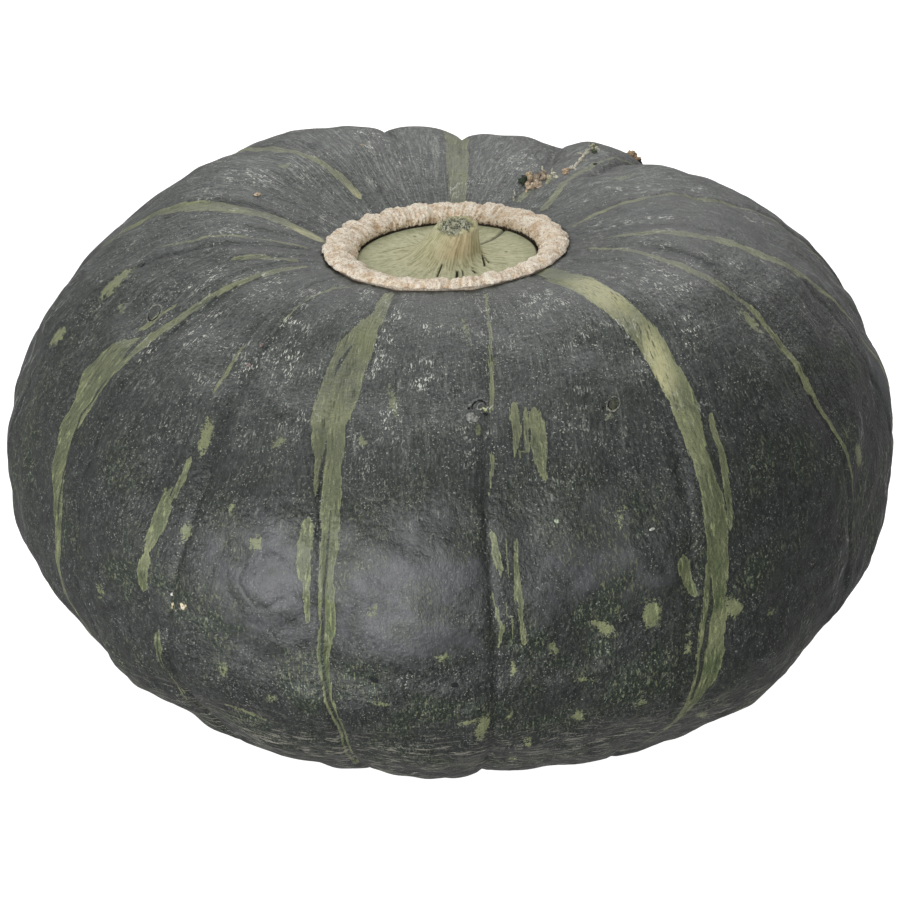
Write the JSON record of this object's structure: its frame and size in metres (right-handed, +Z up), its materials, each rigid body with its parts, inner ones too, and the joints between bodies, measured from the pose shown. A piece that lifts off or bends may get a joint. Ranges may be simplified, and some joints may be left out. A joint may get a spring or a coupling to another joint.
{
  "type": "buttercup squash",
  "caption": "Whole buttercup squash standing blossom end up: ribbed dark green rind with pale stripes, sunken crown with a corky ring, pale button and style stub, rests on its ribs' bellies.",
  "frame": {"origin": "on the surface that the squash stands on, under the middle of its bounding box", "axes": "+Z up through the crown, -Y towards the front seen in the picture, +X to the right seen from the front"},
  "size_m": [0.1885, 0.1895, 0.1103],
  "materials": {
    "rind": "waxy satin rind, dark slate green with ragged olive stripes and short pale flecks",
    "cork": "dry, lumpy tan cork, matt",
    "button": "pale grey-green skin with fine radial streaks, matt, with a dry fibrous stub",
    "stem": "dry corky stem, matt"
  },
  "bodies": {
    "root": {"squash_body": "rind", "corky_ring": "cork", "crown_button": "button", "stem_stub": "stem"}
  },
  "joints": []
}
